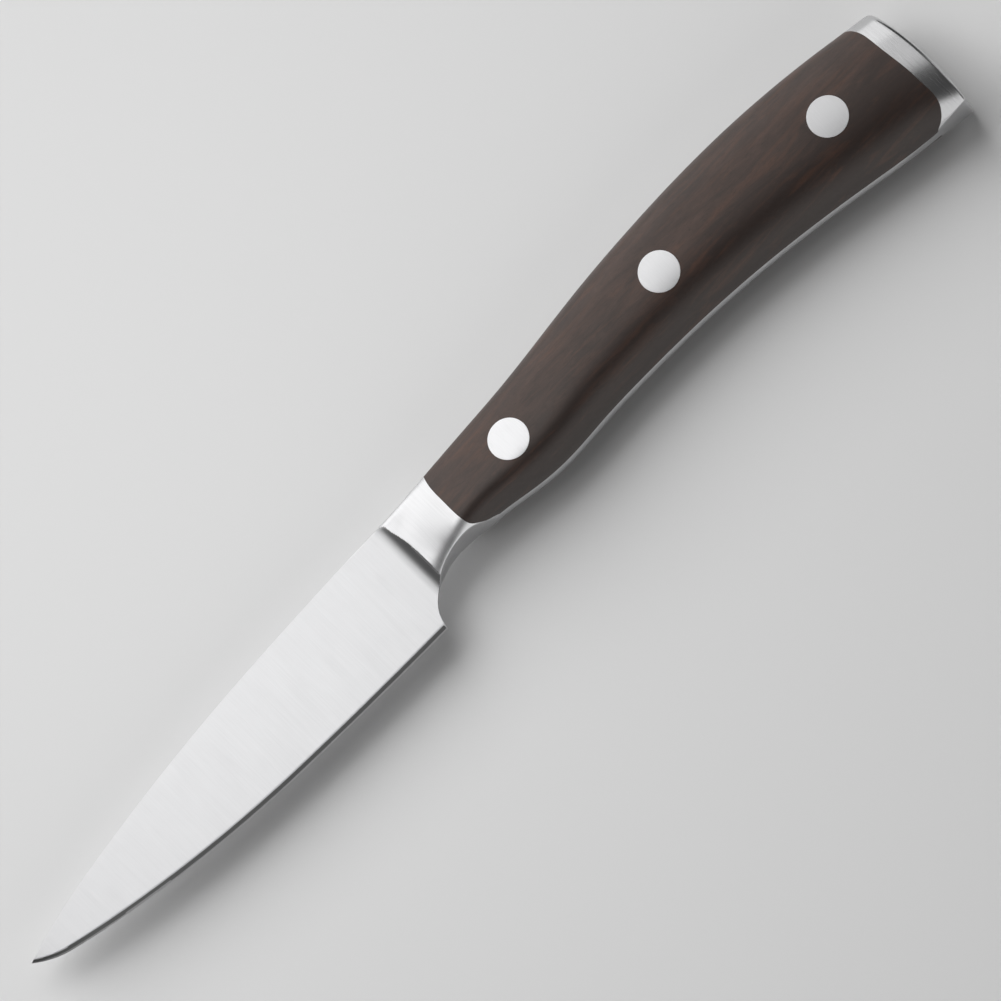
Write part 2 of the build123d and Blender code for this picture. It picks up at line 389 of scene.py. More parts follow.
# %% Stretch the cap to the butt, and close it
cap_columns, rim_columns, face_rings, settling_passes = 24, 6, 10, 4
stretch_start = columns[-1]
places = [(share, butt_rim_radius, 0.0) for share in np.linspace(0, 1, cap_columns + 1)[1:]]
for angle in np.linspace(0, np.pi / 2, rim_columns + 1)[1:]:
    places.append((1.0, butt_rim_radius * (1 - math.sin(angle)), butt_rim_radius * (1 - math.cos(angle))))
for share, gap, inset in places:
    y = loops[-1][:, 1]
    for _ in range(settling_passes):
        x = stretch_start + share * (butt_at(y) - gap - stretch_start)
        y, z = blank_points(x, rows)
    middle = (y[0] + y[-1]) / 2
    y = middle + (y - middle) * (1 - inset / (y[0] - middle))
    z = z * (1 - inset / z.max())
    loops.append(np.stack([butt_at(y) - gap if inset else x, y, z], axis=-1))

rim = loops[-1]
rim_middle = (rim[0, 1] + rim[-1, 1]) / 2
for share in np.linspace(1, 0, face_rings + 1)[1:]:
    y = rim_middle + share * (rim[:, 1] - rim_middle)
    loops.append(np.stack([butt_at(y), y, share * rim[:, 2]], axis=-1))

left_half = np.array(loops)
whole = np.concatenate([left_half, left_half[:, -2:0:-1] * (1, 1, -1)], axis=1)
print(len(whole), "cross sections of", whole.shape[1], "points")


# %% Blank, with each point's distance from the cutting edge
def grid_mesh(name, points):
    """A tube of quads through loops of points, drawn from the spine's root."""
    count = points.shape[1]
    faces = []
    for i in range(len(points) - 1):
        for j in range(count):
            this, following, beside = i * count, (i + 1) * count, (j + 1) % count
            faces.append((this + j, this + beside, following + beside, following + j))
    mesh = bpy.data.meshes.new(name)
    mesh.from_pydata((points.reshape(-1, 3) + np.array(root)).tolist(), [], faces)
    piece = bpy.data.objects.new(name, mesh)
    bpy.context.scene.collection.objects.link(piece)
    return piece


edge_slope = np.gradient(edge_line[:, 1], edge_line[:, 0])
tip_narrowing = 3.0 * mm


def gap_to_edge(x, y):
    """Distance from the cutting edge, counted up to double near the tip, where the bevel narrows."""
    slope = np.interp(x, edge_line[:, 0], edge_slope)
    narrowing = 1 + np.exp(-(x + blade_length) / tip_narrowing)
    return (y - read(edge_line, x)) / np.hypot(1, slope) * narrowing


blank = grid_mesh("knife_blank", whole)
edge_gap = gap_to_edge(whole[..., 0].ravel(), whole[..., 1].ravel()).astype(np.float32)
blank.data.attributes.new("edge_gap", "FLOAT", "POINT").data.foreach_set("value", edge_gap)
print("blank of", len(blank.data.polygons), "faces")

# %% [markdown]
# A forging gets its final form at the grinding wheel. The model could be cut with solids instead,
# but Geometry Nodes can do what the wheel does: each point of the blank is pulled in to whichever
# wheel reaches it. The flank thins evenly towards the edge, a round wheel leaves the hollow before
# the bolster, and a narrow bevel makes the edge. The sizes are named inputs, so that another
# knife needs only other numbers.


# %% Helpers for node trees
def new_tree(name, inputs):
    """A Geometry Nodes tree with a mesh in and out, and named inputs with their starting values."""
    tree = bpy.data.node_groups.new(name, "GeometryNodeTree")
    tree.interface.new_socket("Geometry", in_out="INPUT", socket_type="NodeSocketGeometry")
    for label, (kind, value) in inputs.items():
        socket = tree.interface.new_socket(label, in_out="INPUT", socket_type="NodeSocket" + kind)
        if value is not None:
            socket.default_value = value
    tree.interface.new_socket("Geometry", in_out="OUTPUT", socket_type="NodeSocketGeometry")
    return tree, tree.nodes.new("NodeGroupInput").outputs, tree.nodes.new("NodeGroupOutput").inputs


def add(tree, kind, _settings=(), **inputs):
    """One node. An input is named, or i and its number, and takes a value or a node's output."""
    node = tree.nodes.new(kind)
    for key, value in dict(_settings).items():
        setattr(node, key, value)
    for key, value in inputs.items():
        socket = node.inputs[int(key[1:])] if key[1:].isdigit() else node.inputs[key.replace("_", " ")]
        if isinstance(value, bpy.types.NodeSocket):
            tree.links.new(value, socket)
        else:
            socket.default_value = value
    return node


def calc(tree, operation, *terms):
    """The output of one Math node."""
    inputs = {f"i{n}": term for n, term in enumerate(terms)}
    return add(tree, "ShaderNodeMath", {"operation": operation}, **inputs).outputs[0]


def run_tree(piece, tree, values=()):
    """The plain mesh that a tree makes of a piece, with its inputs set by their names."""
    values = dict(values)
    modifier = piece.modifiers.new(tree.name, "NODES")
    modifier.node_group = tree
    for item in tree.interface.items_tree:
        if item.in_out == "INPUT" and item.name in values:
            modifier[item.identifier] = values[item.name]
    bpy.context.view_layer.update()
    depsgraph = bpy.context.evaluated_depsgraph_get()
    shaped = piece.evaluated_get(depsgraph)
    mesh = bpy.data.meshes.new_from_object(shaped, preserve_all_data_layers=True, depsgraph=depsgraph)
    piece.modifiers.remove(modifier)
    return mesh


# %% Tree that grinds: the flank and the hollow
flank_lean = (spine_thickness - heel_thickness) / (2 * blade_height)
bevel_slope = math.tan(math.radians(bevel_degrees))
out_of_reach = 1000.0
tree, given, result = new_tree("grind_flanks", {
    "Root": ("Vector", root),
    "Heel Thickness": ("Float", heel_thickness),
    "Flank Lean": ("Float", flank_lean),
    "Hollow Start": ("Float", hollow_start),
    "Hollow Radius": ("Float", hollow_radius),
    "Crest Softness": ("Float", 0.25 * mm),
    "Bevel Slope": ("Float", bevel_slope),
    "Shoulder Softness": ("Float", 0.02 * mm),
    "Edge Land": ("Float", 0.001 * mm),
})
position = add(tree, "GeometryNodeInputPosition").outputs[0]
drawn = add(tree, "ShaderNodeVectorMath", {"operation": "SUBTRACT"}, i0=position, i1=given["Root"])
x, y, z = add(tree, "ShaderNodeSeparateXYZ", i0=drawn.outputs[0]).outputs
to_edge = add(tree, "GeometryNodeInputNamedAttribute", {"data_type": "FLOAT"}, Name="edge_gap").outputs[0]
lean = calc(tree, "MULTIPLY", to_edge, given["Flank Lean"])
flank = calc(tree, "MULTIPLY_ADD", given["Heel Thickness"], 0.5, lean)
past = calc(tree, "MAXIMUM", calc(tree, "SUBTRACT", x, given["Hollow Start"]), 0.0)
radius = given["Hollow Radius"]
squares = calc(tree, "MULTIPLY", radius, radius), calc(tree, "MULTIPLY", past, past)
drop = calc(tree, "SQRT", calc(tree, "MAXIMUM", calc(tree, "SUBTRACT", *squares), 0.0))
arc = calc(tree, "SUBTRACT", radius, drop)
behind = calc(tree, "MAXIMUM", calc(tree, "SUBTRACT", past, radius), 0.0)
off_hollow = calc(tree, "MULTIPLY", behind, out_of_reach)
wheel = calc(tree, "ADD", calc(tree, "ADD", flank, arc), off_hollow)
ground = calc(tree, "SMOOTH_MIN", calc(tree, "ABSOLUTE", z), wheel, given["Crest Softness"])
print("flank leans", round(math.degrees(math.atan(flank_lean)), 2), "degrees")

# %% The bevel, and the ground form
off_blade = calc(tree, "MULTIPLY", past, out_of_reach)
bevel = calc(tree, "MULTIPLY_ADD", to_edge, given["Bevel Slope"], off_blade)
ground = calc(tree, "SMOOTH_MIN", ground, bevel, given["Shoulder Softness"])
ground = calc(tree, "MAXIMUM", ground, given["Edge Land"])
ground = calc(tree, "MULTIPLY", ground, calc(tree, "SIGN", z))
moved = add(tree, "ShaderNodeCombineXYZ", X=x, Y=y, Z=ground)
back = add(tree, "ShaderNodeVectorMath", {"operation": "ADD"}, i0=moved.outputs[0], i1=given["Root"])
shaped = add(tree, "GeometryNodeSetPosition", Geometry=given["Geometry"], Position=back.outputs[0])
tree.links.new(shaped.outputs[0], result[0])


def clean(mesh, reach=0.00002 * mm):
    """Merge doubles and turn all faces outward."""
    build = bmesh.new()
    build.from_mesh(mesh)
    bmesh.ops.remove_doubles(build, verts=build.verts, dist=reach)
    bmesh.ops.recalc_face_normals(build, faces=build.faces)
    open_edges = sum(not edge.is_manifold for edge in build.edges)
    volume = build.calc_volume()
    build.to_mesh(mesh)
    build.free()
    print(mesh.name, len(mesh.polygons), "faces,", open_edges, "open edges,", round(volume / mm**3), "mm3")


form_mesh = run_tree(blank, tree)
form_mesh.name = "knife_form"
clean(form_mesh)
knife_form = bpy.data.objects.new("knife_form", form_mesh)
bpy.context.scene.collection.objects.link(knife_form)
bpy.data.objects.remove(blank)

# %% [markdown]
# Steel that was ground and then finished on a belt is covered with fine scratches that all run one
# way. They are too small to model, and an image of them would repeat, so the material draws them:
# noise that is squeezed to less than a tenth of a millimetre across the scratches and pulled out
# to several millimetres along them. It changes colour, roughness and bump a little. The pattern
# reads Object coordinates, which are the part's own real sizes, so that it stays put on the steel.


# %% Helpers for finishes
def new_finish(name, metallic, roughness):
    """A material with its shader's plain values set, and its own place on the part to read."""
    material = bpy.data.materials.new(name)
    material.use_nodes = True
    shader = material.node_tree.nodes["Principled BSDF"]
    shader.inputs["Metallic"].default_value = metallic
    shader.inputs["Roughness"].default_value = roughness
    place = add(material.node_tree, "ShaderNodeTexCoord").outputs["Object"]
    return material, material.node_tree, shader.inputs, place


def noise(tree, place, grain, detail=2.0, roughness=0.5, shift=0.0, warp=0.0):
    """Noise from 0 to 1 whose grain has its own length along X, Y and Z."""
    scale = [1 / length for length in grain]
    stretched = add(tree, "ShaderNodeMapping", Vector=place, Scale=scale, Location=(shift, shift, shift))
    return add(
        tree, "ShaderNodeTexNoise", Vector=stretched.outputs[0], Scale=1.0,
        Detail=detail, Roughness=roughness, Distortion=warp,
    ).outputs[0]


def spread(tree, value, low, high, to_low, to_high):
    """A value that runs from to_low to to_high while another runs from low to high."""
    return add(tree, "ShaderNodeMapRange", i0=value, i1=low, i2=high, i3=to_low, i4=to_high).outputs[0]


def blend(tree, share, one, other):
    """A colour between two others."""
    return add(tree, "ShaderNodeMix", {"data_type": "RGBA"}, i0=share, i6=one, i7=other).outputs[2]


def add_bump(tree, inputs, height, depth):
    """Relief on a finish, as deep as the depth says where the height goes from 0 to 1."""
    bump = add(tree, "ShaderNodeBump", Strength=1.0, Distance=depth, Height=height)
    tree.links.new(bump.outputs["Normal"], inputs["Normal"])


# %% Recipe for brushed steel
cloud_grain = (14.0 * mm, 7.0 * mm, 7.0 * mm)
wide_scratch, line_share, cloud_share = 2.5, 0.6, 0.3
line_limits, scratch_limits = (0.45, 1.05), (0.3, 0.7)
blue_tinge = 1.01


def steel_grey(level):
    """The faintly blue grey of bare steel."""
    return (level, level, level * blue_tinge, 1.0)


def brushed_steel(name, level, roughness, grain, contrast=0.06, depth=0.0012 * mm, swing=0.15, painted_shade_fade=None):
    """Steel with fine scratches along their grain's longest side, and painted shade that may darken it along
    X.
    """
    material, tree, inputs, place = new_finish(name, 1.0, roughness)
    fine = noise(tree, place, grain, detail=3.0)
    wide = noise(tree, place, [wide_scratch * length for length in grain], shift=3.0)
    clouds = noise(tree, place, cloud_grain, shift=7.0)
    lines = calc(tree, "MULTIPLY_ADD", wide, line_share, calc(tree, "MULTIPLY", fine, line_share))
    lines = calc(tree, "MULTIPLY_ADD", clouds, cloud_share, lines)
    share = spread(tree, lines, *line_limits, 0.0, 1.0)
    colour = blend(tree, share, steel_grey(level * (1 - contrast)), steel_grey(level * (1 + contrast)))
    # Painted shade: the colour darkens to another grey between two places along X.
    if painted_shade_fade:
        start, end, shaded_level = painted_shade_fade
        x = add(tree, "ShaderNodeSeparateXYZ", i0=place).outputs["X"]
        colour = blend(tree, spread(tree, x, start, end, 0.0, 1.0), colour, steel_grey(shaded_level))
    tree.links.new(colour, inputs["Base Color"])
    rough = spread(tree, fine, *scratch_limits, roughness * (1 + swing), roughness * (1 - swing))
    tree.links.new(rough, inputs["Roughness"])
    add_bump(tree, inputs, fine, depth)
    return material


# %% [markdown]
# The knife's steel is one alloy, but it meets a different belt in each place. The flanks are satin,
# the bolster and the cap shine more, and the edge was honed and then stropped. Some of the greys are
# painted shade: the cap is darker where the light falls off towards the butt, the narrow faces are
# darker for the belly that looks away from the light, and the honed bevel is darker because it faces
# away from the light, while its last, stropped strip stays brighter. The hollow is darkened with
# painted shade for the dim surroundings that it mirrors, and the blade's finish fades to that level
# along X, because a hard line there would look painted.

# %% Finishes of the steel
scratch_width, scratch_run = 0.06 * mm, 5.0 * mm
across = (scratch_width, scratch_run, scratch_run)
lengthwise = (scratch_run, scratch_width, scratch_width)
upright = (scratch_run, scratch_run, scratch_width)
honed_grain = (0.08 * mm, 3.0 * mm, 3.0 * mm)
rivet_grain = (0.06 * mm, 2.0 * mm, 2.0 * mm)
# Painted shade: over the hollow the blade darkens, for the dim surroundings that the hollow mirrors.
hollow_painted_shade = (root.x + hollow_start - 0.5 * mm, root.x + hollow_start + 1.3 * mm, 0.38)
blade_finish = brushed_steel(
    "satin_blade", 0.90, 0.46, across, contrast=0.035, depth=0.001 * mm, swing=0.08, painted_shade_fade=hollow_painted_shade
)
fine_hone = {"grain": honed_grain, "contrast": 0.05, "depth": 0.0, "swing": 0.02}
# Painted shade: the honed bevel is a darker grey, because it faces away from the light.
edge_bevel_shaded_finish = brushed_steel("honed_edge_shaded", 0.44, 0.29, **fine_hone)
stropped_finish = brushed_steel("stropped_edge", 0.80, 0.36, **fine_hone)
bolster_finish = brushed_steel("brushed_bolster", 0.87, 0.38, across, depth=0.001 * mm)
# Painted shade: the cap is a darker grey than the bolster, because the light falls off towards the butt.
cap_shaded_finish = brushed_steel("brushed_cap_shaded", 0.66, 0.24, across, contrast=0.07)
# Painted shade: the narrow faces are a darker grey, set for the belly that looks away from the light.
strip_shaded_finish = brushed_steel("brushed_strip_shaded", 0.64, 0.34, lengthwise, contrast=0.08)
butt_finish = brushed_steel("brushed_butt", 0.6, 0.30, upright)
rivet_finish = brushed_steel("satin_rivet", 0.95, 0.46, rivet_grain, contrast=0.03)
print(len(bpy.data.materials), "finishes so far")

# %% [markdown]
# The scales are a dark, dense wood, oiled and rubbed smooth. Its grain runs the length of the
# handle: wide soft bands of darker and redder wood, fine fibres, and short open pores. Each of these
# is a stretched noise of its own, because one noise can't have so many lengths, and only the pores
# and fibres are deep enough for bump. Painted shade darkens the wood towards the belly, which turns
# away from the light, along a line that wanders with the bands.

# %% Finish of the wood
darkest, brown, russet = (0.010, 0.005, 0.004, 1.0), (0.048, 0.024, 0.017, 1.0), (0.080, 0.030, 0.014, 1.0)
band_grain, streak_grain = (15 * mm, 2.6 * mm, 3.4 * mm), (14 * mm, 1.5 * mm, 2.6 * mm)
fibre_grain, pore_grain = (0.9 * mm, 0.13 * mm, 0.13 * mm), (0.9 * mm, 0.11 * mm, 0.11 * mm)
band_limits, streak_limits, fibre_limits, pore_limits = (0.32, 0.66), (0.50, 0.72), (0.3, 0.7), (0.62, 0.70)
belly_shade_limits, shade_line_wander = (root.y - 2.5 * mm, root.y - 8 * mm), 5 * mm
belly_shade_share, russet_share, fibre_share, pore_share = 0.8, 0.65, 0.35, 0.7
rubbed, dull = 0.36, 0.50
fibre_rise, pore_rise, relief_depth = 0.5, -1.0, 0.004 * mm
wood_finish, tree, inputs, place = new_finish("dark_wood", 0.0, 0.42)
inputs["Specular IOR Level"].default_value = 0.85
inputs["Specular Tint"].default_value = (1.0, 0.93, 0.89, 1.0)
bands = noise(tree, place, band_grain, detail=7.0, roughness=0.72, warp=1.2)
streaks = noise(tree, place, streak_grain, detail=5.0, roughness=0.62, shift=11.0, warp=0.9)
fibres = noise(tree, place, fibre_grain, detail=4.0, roughness=0.75, shift=5.0)
pores = noise(tree, place, pore_grain, detail=1.0, shift=23.0)
# Painted shade: darker towards the belly, which turns away from the light, along a line that wanders with
# the bands.
height = add(tree, "ShaderNodeSeparateXYZ", i0=place).outputs["Y"]
height = calc(tree, "MULTIPLY_ADD", bands, shade_line_wander, height)
open_pore = spread(tree, pores, *pore_limits, 0.0, 1.0)
colour = blend(tree, spread(tree, bands, *band_limits, 0.0, 1.0), darkest, brown)
colour = blend(tree, spread(tree, height, *belly_shade_limits, 0.0, belly_shade_share), colour, darkest)
colour = blend(tree, spread(tree, streaks, *streak_limits, 0.0, russet_share), colour, russet)
colour = blend(tree, spread(tree, fibres, *fibre_limits, 0.0, fibre_share), colour, darkest)
colour = blend(tree, calc(tree, "MULTIPLY", open_pore, pore_share), colour, darkest)
tree.links.new(colour, inputs["Base Color"])
tree.links.new(spread(tree, fibres, *fibre_limits, rubbed, dull), inputs["Roughness"])
relief = calc(tree, "MULTIPLY_ADD", open_pore, pore_rise, calc(tree, "MULTIPLY", fibres, fibre_rise))
add_bump(tree, inputs, relief, relief_depth)
print("wood finish of", len(tree.nodes), "nodes")

# %% [markdown]
# A handle scale is sawn to its outline, laid on the tang, drilled for its rivets and then ground
# flush with the steel. So a scale is the part of the knife's form inside a block that stands on
# the tang, less the holes for the rivets. Drawn that way, its outer face needs no sections of its
# own. One tree makes both scales, with the side as an input, and the forging is what is left of
# the form when the two blocks are taken away.

# %% Sizes of the riveted joint
half_tang = tang_thickness / 2
scale_web = 2.2 * mm
head_seat = half_tang + scale_web
head_radius, tube_radius, pin_radius = 3.5 * mm, 2.5 * mm, 1.6 * mm
pin_tip_gap, tube_end_gap = 0.4 * mm, 0.3 * mm
head_gap = 0.03 * mm
round_sides = 128
# Holes and shanks run on a little past what they cut or join, as shares of the head's seat or the tang.
into_head, past_tube_end, into_tang = 1.1, -2.0, 0.5
print("rivet heads are seated", round(head_seat / mm, 2), "mm from the middle of the tang")


# %% Outline of a scale, and the rivets' places
def flat_object(name, points, height, faces=()):
    """A mesh of points in the knife's side view, at a height above the middle of the blade."""
    mesh = bpy.data.meshes.new(name)
    mesh.from_pydata([tuple(root + Vector((x, y, height))) for x, y in points], [], list(faces))
    piece = bpy.data.objects.new(name, mesh)
    bpy.context.scene.collection.objects.link(piece)
    return piece


overrun = 5.0 * mm
wood_front = outline(wood_front_shares, bolster_length, bolster_height, samples=60)
wood_rear = outline(wood_rear_shares, handle_length, handle_height, samples=60)
wood_below = np.array([(wood_front[-1, 0] + overrun, wood_rear[0, 1])])
clear_top = spine_top_share * handle_height + overrun
wood_above = np.array([(wood_rear[-1, 0] - overrun, clear_top), (wood_front[0, 0] + overrun, clear_top)])
wood_line = np.concatenate([wood_front, wood_below, wood_rear, wood_above])[::-1]
rivet_places = [(along * handle_length, up * handle_height) for along, up in rivet_shares.values()]
rivet_points = flat_object("rivet_points", rivet_places, 0.0)


def scale_outline(side):
    """The outline of a scale, as one face on the tang that looks outward."""
    loop = range(len(wood_line))
    return flat_object("scale_outline", wood_line, side * half_tang, [loop if side < 0 else loop[::-1]])


print("wood's outline of", len(wood_line), "points")


# %% Helpers that saw, drill and cut
def drill(tree, points, radius, side, low, high):
    """Cylinders round each point, between two distances from the middle of the tang."""
    length = calc(tree, "SUBTRACT", high, low)
    rod = add(tree, "GeometryNodeMeshCylinder", Vertices=round_sides, Radius=radius, Depth=length)
    half_way = calc(tree, "MULTIPLY", calc(tree, "MULTIPLY_ADD", length, 0.5, low), side)
    offset = add(tree, "ShaderNodeCombineXYZ", Z=half_way)
    lifted = add(tree, "GeometryNodeTransform", Geometry=rod.outputs["Mesh"], Translation=offset.outputs[0])
    rods = add(tree, "GeometryNodeInstanceOnPoints", Points=points, Instance=lifted.outputs[0])
    return add(tree, "GeometryNodeRealizeInstances", Geometry=rods.outputs[0]).outputs[0]


def block(tree, face, side, height):
    """A closed block that stands on a flat face."""
    step = add(tree, "ShaderNodeCombineXYZ", Z=calc(tree, "MULTIPLY", side, height))
    raised = add(tree, "GeometryNodeExtrudeMesh", Mesh=face, Offset=step.outputs[0], Individual=False)
    base = add(tree, "GeometryNodeFlipFaces", Mesh=face)
    both = add(tree, "GeometryNodeJoinGeometry", Geometry=raised.outputs["Mesh"])
    tree.links.new(base.outputs[0], both.inputs[0])
    return add(tree, "GeometryNodeMergeByDistance", Geometry=both.outputs[0], Distance=0.001 * mm).outputs[0]


def cut(tree, operation, first, *others):
    """Mesh Boolean of one mesh with others."""
    node = add(tree, "GeometryNodeMeshBoolean", {"operation": operation, "solver": "MANIFOLD"})
    if operation == "DIFFERENCE":
        tree.links.new(first, node.inputs[0])
        meshes = others
    else:
        meshes = (first, *others)
    for mesh in meshes:
        tree.links.new(mesh, node.inputs[1])
    return node.outputs[0]


def read_object(tree, source):
    """The mesh of an object that is given to a tree."""
    return add(tree, "GeometryNodeObjectInfo", Object=source).outputs["Geometry"]


def end_tree(tree, mesh, material, result):
    """The last nodes of a tree that makes a finished piece."""
    real = add(tree, "GeometryNodeRealizeInstances", Geometry=mesh)
    painted = add(tree, "GeometryNodeSetMaterial", Geometry=real.outputs[0], Material=material)
    tree.links.new(painted.outputs[0], result[0])


def finished(name, mesh, nodes, crease_degrees=32):
    """A finished piece: clean, smooth between its creases, riding on the frame in place of its nodes."""
    mesh.name = name
    if mesh.materials[0] is None:  # Mesh Boolean may leave an empty first slot.
        mesh.materials.pop(index=0)
    clean(mesh)
    mesh.shade_smooth()
    mesh.set_sharp_from_angle(angle=math.radians(crease_degrees))
    piece = bpy.data.objects.new(name, mesh)
    bpy.context.scene.collection.objects.link(piece)
    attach(piece, "root")
    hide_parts(*nodes)
    low, high = np.array(piece.bound_box)[[0, 6]] / mm
    print(name, "from", low.round(2), "to", high.round(2), "mm, in", mesh.materials[0].name)
    return piece


# %% Tree for a handle scale
scale_tree, given, result = new_tree("handle_scale", {
    "Form": ("Object", None),
    "Rivet Points": ("Object", None),
    "Side": ("Float", 1.0),
    "Block Height": ("Float", handle_thickness),
    "Head Seat": ("Float", head_seat),
    "Head Hole Radius": ("Float", head_radius + head_gap),
    "Shank Hole Radius": ("Float", tube_radius),
    "Tang Half": ("Float", half_tang),
    "Material": ("Material", None),
})
form = read_object(scale_tree, given["Form"])
points = read_object(scale_tree, given["Rivet Points"])
side, height = given["Side"], given["Block Height"]
sawn = block(scale_tree, given["Geometry"], side, height)
below_tang = calc(scale_tree, "MULTIPLY", given["Tang Half"], into_tang)
inside_head = calc(scale_tree, "MULTIPLY", given["Head Seat"], into_head)
shank_holes = drill(scale_tree, points, given["Shank Hole Radius"], side, below_tang, inside_head)
head_holes = drill(scale_tree, points, given["Head Hole Radius"], side, given["Head Seat"], height)
drilled = cut(scale_tree, "DIFFERENCE", sawn, shank_holes, head_holes)
end_tree(scale_tree, cut(scale_tree, "INTERSECT", form, drilled), given["Material"], result)
print("scale tree of", len(scale_tree.nodes), "nodes")

# %% Cut both scales
cutting = {"Form": knife_form, "Rivet Points": rivet_points, "Material": wood_finish}
for name, side in (("left", 1), ("right", -1)):
    sawn = scale_outline(side)
    mesh = run_tree(sawn, scale_tree, {**cutting, "Side": float(side)})
    finished(name + "_wood", mesh, [name + "_scale"])
    bpy.data.objects.remove(sawn)

# %% [markdown]
# The forging is the same form with the two blocks taken away, down to the faces of the tang, and
# with three bores through the tang. The blocks are the ones that the scales were cut with, so
# wood and steel meet along one line, as they do when both are ground together.

# %% Tree for the forging
forging_tree, given, result = new_tree("forging", {
    "Left Block": ("Object", None),
    "Right Block": ("Object", None),
    "Rivet Points": ("Object", None),
    "Block Height": ("Float", handle_thickness),
    "Bore Radius": ("Float", tube_radius),
    "Bore Half": ("Float", tang_thickness),
    "Material": ("Material", None),
})
blocks = [
    block(forging_tree, read_object(forging_tree, given[label]), side, given["Block Height"])
    for label, side in (("Left Block", 1.0), ("Right Block", -1.0))
]
points = read_object(forging_tree, given["Rivet Points"])
low = calc(forging_tree, "MULTIPLY", given["Bore Half"], -1.0)
bores = drill(forging_tree, points, given["Bore Radius"], 1.0, low, given["Bore Half"])
steel_left = cut(forging_tree, "DIFFERENCE", given["Geometry"], *blocks, bores)
end_tree(forging_tree, steel_left, given["Material"], result)
print("forging tree of", len(forging_tree.nodes), "nodes")

# %% Cut the forging
outlines = {"Left Block": scale_outline(1), "Right Block": scale_outline(-1)}
cutting = {**outlines, "Rivet Points": rivet_points, "Material": blade_finish}
mesh = run_tree(knife_form, forging_tree, cutting)
forging = finished("forged_steel", mesh, ["blade_forging"])
for piece in outlines.values():
    bpy.data.objects.remove(piece)

# %% [markdown]
# One forging carries seven finishes, because each region meets another belt or wheel, and because
# the edge's bevel, the cap and the narrow faces carry painted shade. The flanks and the bolster are
# brushed from spine to belly, the narrow faces all round are brushed lengthwise, and the edge is
# honed. The forging could be cut in seven meshes, but it is one piece, so each face gets its finish
# by where it lies and which way it looks.

# %% Where the faces of the forging lie
count = len(forging.data.polygons)
centres, normals = np.zeros(count * 3, np.float32), np.zeros(count * 3, np.float32)
forging.data.polygons.foreach_get("center", centres)
forging.data.polygons.foreach_get("normal", normals)
centres, normals = centres.reshape(-1, 3) - np.array(root), normals.reshape(-1, 3)
x, y, z = centres[:, 0], centres[:, 1], np.abs(centres[:, 2])
side_facing, butt_facing, hollow_margin = 0.5, 0.8, 0.08 * mm
to_edge = gap_to_edge(x, y)
on_edge = (x < -heel_lead) & (to_edge < shoulder_reach)
on_side = np.abs(normals[:, 2]) > side_facing
past = np.clip(x - hollow_start, 0, hollow_radius)
wheel = heel_thickness / 2 + flank_lean * to_edge + hollow_radius - np.sqrt(hollow_radius**2 - past**2)
in_hollow = (past > 0) & (past < hollow_radius) & on_side & (z > wheel - hollow_margin)
print(count, "faces,", in_hollow.sum(), "of them in the hollow")

# %% Give each region its finish, where a later one covers the ones before it
stropped_width = 0.32 * mm
regions = (
    (blade_finish, x < hollow_start),
    (bolster_finish, (x >= hollow_start) & (x < handle_length / 2)),
    (cap_shaded_finish, x >= handle_length / 2),
    (strip_shaded_finish, ~on_side),
    (edge_bevel_shaded_finish, on_edge),
    (butt_finish, normals[:, 0] > butt_facing),
    # The hollow's faces take the blade's finish, with the painted shade that darkens them.
    (blade_finish, in_hollow),
    (stropped_finish, on_edge & (to_edge < stropped_width)),
)
finishes = [blade_finish, edge_bevel_shaded_finish, bolster_finish, strip_shaded_finish, butt_finish]
finishes += [cap_shaded_finish, stropped_finish]
finish_index = np.zeros(count, np.int32)
for finish, faces in regions:
    finish_index[faces] = finishes.index(finish)
forging.data.materials.clear()
for finish in finishes:
    forging.data.materials.append(finish)
forging.data.polygons.foreach_set("material_index", finish_index)
print("faces of each finish", {m.name: int((finish_index == i).sum()) for i, m in enumerate(finishes)})

# %% [markdown]
# Each rivet is two halves pressed together through the tang: a head with a solid pin, and a head
# with a tube that takes the pin. Both heads are ground flush, so the outer face of a head is a
# round piece of the handle's own surface. A plain disc would stand proud or sink in somewhere, and
# so the tree cuts the head from the knife's form.

# %% Tree for half a rivet
rivet_tree, given, result = new_tree("rivet_half", {
    "Form": ("Object", None),
    "Side": ("Float", 1.0),
    "Head Radius": ("Float", head_radius),
    "Head Seat": ("Float", head_seat),
    "Head Height": ("Float", handle_thickness),
    "Shank Radius": ("Float", pin_radius),
    "Shank End": ("Float", pin_tip_gap - head_seat),
    "Hollow": ("Bool", False),
    "Bore Radius": ("Float", pin_radius),
    "Material": ("Material", None),
})
form = read_object(rivet_tree, given["Form"])
side, centre = given["Side"], given["Geometry"]
head = drill(rivet_tree, centre, given["Head Radius"], side, given["Head Seat"], given["Head Height"])
head = cut(rivet_tree, "INTERSECT", form, head)
inside_head = calc(rivet_tree, "MULTIPLY", given["Head Seat"], into_head)
shank = drill(rivet_tree, centre, given["Shank Radius"], side, given["Shank End"], inside_head)
solid = cut(rivet_tree, "UNION", head, shank)
past_end = calc(rivet_tree, "MULTIPLY", given["Head Seat"], past_tube_end)
bore = drill(rivet_tree, centre, given["Bore Radius"], side, past_end, given["Head Seat"])
bored = cut(rivet_tree, "DIFFERENCE", solid, bore)
chosen = add(rivet_tree, "GeometryNodeSwitch", {"input_type": "GEOMETRY"}, Switch=given["Hollow"])
rivet_tree.links.new(solid, chosen.inputs["False"])
rivet_tree.links.new(bored, chosen.inputs["True"])
end_tree(rivet_tree, chosen.outputs[0], given["Material"], result)
print("rivet tree of", len(rivet_tree.nodes), "nodes")

